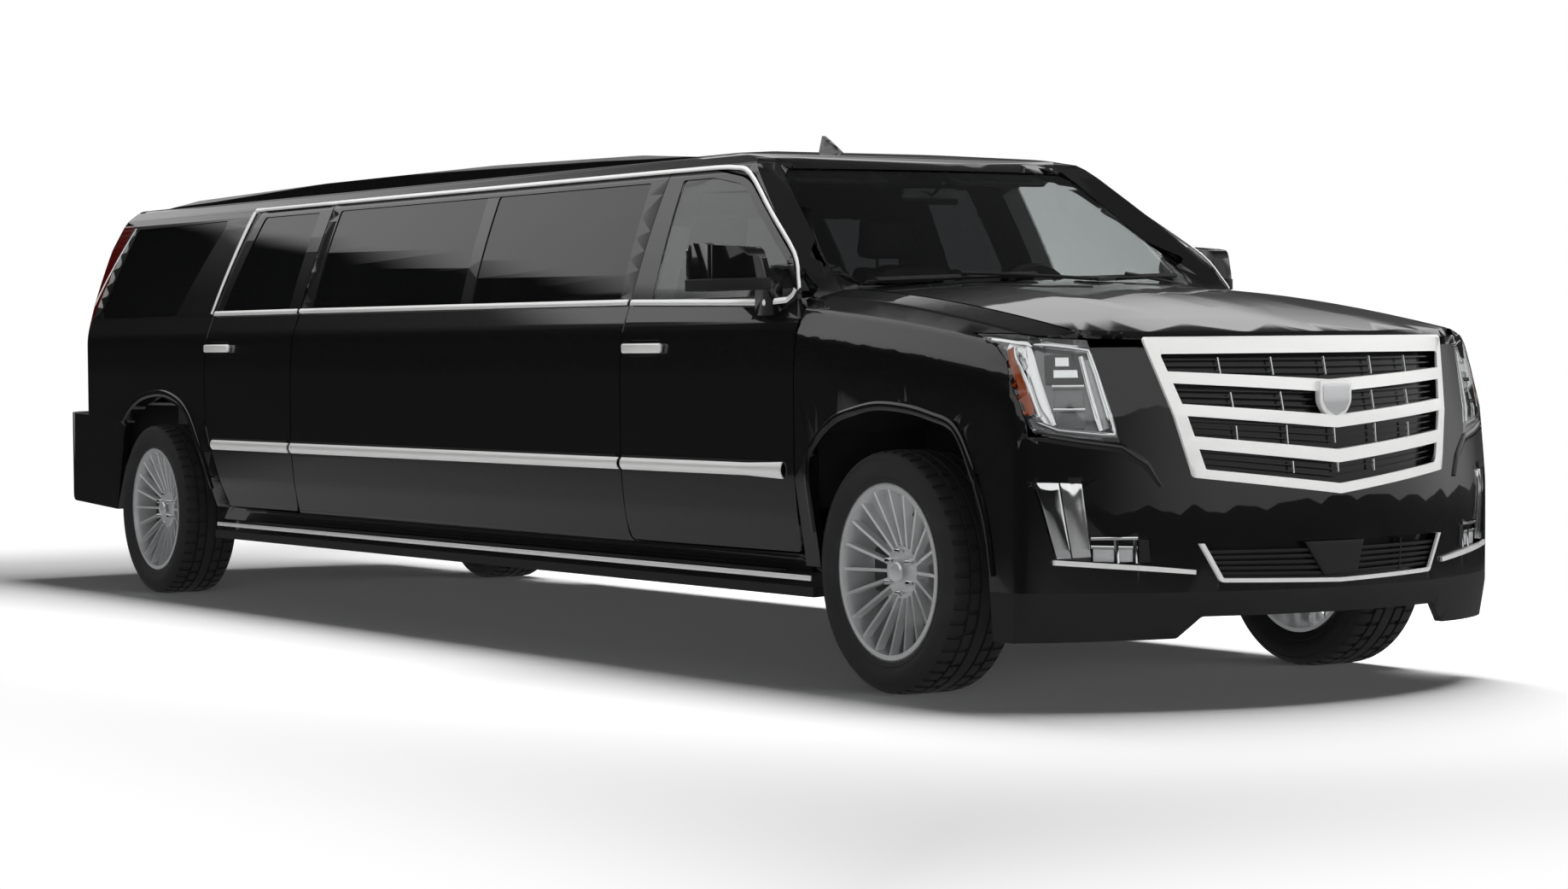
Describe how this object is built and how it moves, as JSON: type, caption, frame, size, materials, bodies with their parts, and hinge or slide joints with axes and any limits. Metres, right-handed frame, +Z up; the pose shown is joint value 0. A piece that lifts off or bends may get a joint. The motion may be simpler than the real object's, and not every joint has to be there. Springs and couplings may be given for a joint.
{
  "type": "stretch limousine",
  "caption": "Stretch limousine on a long sport-utility body, with a lounge cabin, hinged doors, hood and tailgate, and steered front wheels.",
  "frame": {"origin": "on the ground under the middle of the overall length and width", "axes": "+X forward, +Y to the car's left, +Z up"},
  "size_m": [8.7791, 2.2546, 1.97],
  "materials": {
    "paint": "gloss black with clear coat",
    "chrome": "satin bright",
    "dark_glass": "dark privacy tint",
    "clear_glass": "clear, lightly tinted",
    "lamp_lens": "clear lens over bright reflectors",
    "tail_lens": "pale clear lens over red",
    "black_plastic": "matte grained",
    "rim_alloy": "machined silver",
    "tyre_rubber": "black sidewall",
    "frame_steel": "satin black",
    "engine_iron": "plain block",
    "exhaust_steel": "dull",
    "carpet": "black carpet",
    "cabin_trim": "soft black trim",
    "leather": "black leather"
  },
  "bodies": {
    "chassis": {"body_side_left": "paint", "body_side_right": "paint", "roof_panel": "paint", "side_windows": "dark_glass", "windscreen": "clear_glass", "front_fenders": "paint", "front_bumper": "paint", "front_valance": "black_plastic", "grille_frame": "chrome", "grille_core": "black_plastic", "front_lamps": "lamp_lens", "tail_lamps": "tail_lens", "rear_bumper": "paint", "floor_pan": "carpet", "bulkhead": "black_plastic", "front_wheelhouses": "black_plastic", "chassis_frame": "frame_steel", "rear_axle": "frame_steel", "engine_block": "engine_iron", "exhaust": "exhaust_steel", "fuel_tank": "black_plastic", "running_boards": "black_plastic", "dashboard": "cabin_trim", "front_seats": "leather", "lounge_seats": "leather", "partition": "cabin_trim"},
    "front_door_left": {"front_door_left": "paint", "front_door_glass_left": "dark_glass"},
    "rear_door_left": {"rear_door_left": "paint", "rear_door_glass_left": "dark_glass"},
    "steering_left": {"steering_knuckle_left": "frame_steel"},
    "wheel_front_left": {"rim_front_left": "rim_alloy", "tyre_front_left": "tyre_rubber"},
    "wheel_rear_left": {"rim_rear_left": "rim_alloy", "tyre_rear_left": "tyre_rubber"},
    "front_door_right": {"front_door_right": "paint", "front_door_glass_right": "dark_glass"},
    "rear_door_right": {"rear_door_right": "paint", "rear_door_glass_right": "dark_glass"},
    "steering_right": {"steering_knuckle_right": "frame_steel"},
    "wheel_front_right": {"rim_front_right": "rim_alloy", "tyre_front_right": "tyre_rubber"},
    "wheel_rear_right": {"rim_rear_right": "rim_alloy", "tyre_rear_right": "tyre_rubber"},
    "hood": {"hood": "paint"},
    "tailgate": {"tailgate": "paint", "tailgate_glass": "dark_glass"}
  },
  "joints": [
    {"name": "front_door_left_hinge", "type": "hinge", "parent": "chassis", "child": "front_door_left", "pos_m": [2.652, 0.984, 0.89], "axis": [0, 0, -1], "range_deg": [0, 65]},
    {"name": "rear_door_left_hinge", "type": "hinge", "parent": "chassis", "child": "rear_door_left", "pos_m": [-1.535, 0.984, 0.89], "axis": [0, 0, -1], "range_deg": [0, 65]},
    {"name": "steer_left", "type": "hinge", "parent": "chassis", "child": "steering_left", "pos_m": [3.27, 0.7605, 0.405], "axis": [0, 0, 1], "range_deg": [-32, 32]},
    {"name": "wheel_front_left_spin", "type": "hinge", "parent": "steering_left", "child": "wheel_front_left", "pos_m": [3.27, 0.8725, 0.405], "axis": [0, 1, 0], "continuous": true},
    {"name": "wheel_rear_left_spin", "type": "hinge", "parent": "chassis", "child": "wheel_rear_left", "pos_m": [-3.08, 0.8725, 0.405], "axis": [0, 1, 0], "continuous": true},
    {"name": "front_door_right_hinge", "type": "hinge", "parent": "chassis", "child": "front_door_right", "pos_m": [2.652, -0.984, 0.89], "axis": [0, 0, 1], "range_deg": [0, 65]},
    {"name": "rear_door_right_hinge", "type": "hinge", "parent": "chassis", "child": "rear_door_right", "pos_m": [-1.535, -0.984, 0.89], "axis": [0, 0, 1], "range_deg": [0, 65]},
    {"name": "steer_right", "type": "hinge", "parent": "chassis", "child": "steering_right", "pos_m": [3.27, -0.7605, 0.405], "axis": [0, 0, 1], "range_deg": [-32, 32]},
    {"name": "wheel_front_right_spin", "type": "hinge", "parent": "steering_right", "child": "wheel_front_right", "pos_m": [3.27, -0.8725, 0.405], "axis": [0, 1, 0], "continuous": true},
    {"name": "wheel_rear_right_spin", "type": "hinge", "parent": "chassis", "child": "wheel_rear_right", "pos_m": [-3.08, -0.8725, 0.405], "axis": [0, 1, 0], "continuous": true},
    {"name": "hood_hinge", "type": "hinge", "parent": "chassis", "child": "hood", "pos_m": [2.722, 0, 1.342], "axis": [0, -1, 0], "range_deg": [0, 50]},
    {"name": "tailgate_hinge", "type": "hinge", "parent": "chassis", "child": "tailgate", "pos_m": [-3.93, 0, 1.898], "axis": [0, 1, 0], "range_deg": [0, 85]}
  ],
  "couplings": [
    {"joint": "steer_right", "follows": "steer_left", "ratio": 1}
  ]
}
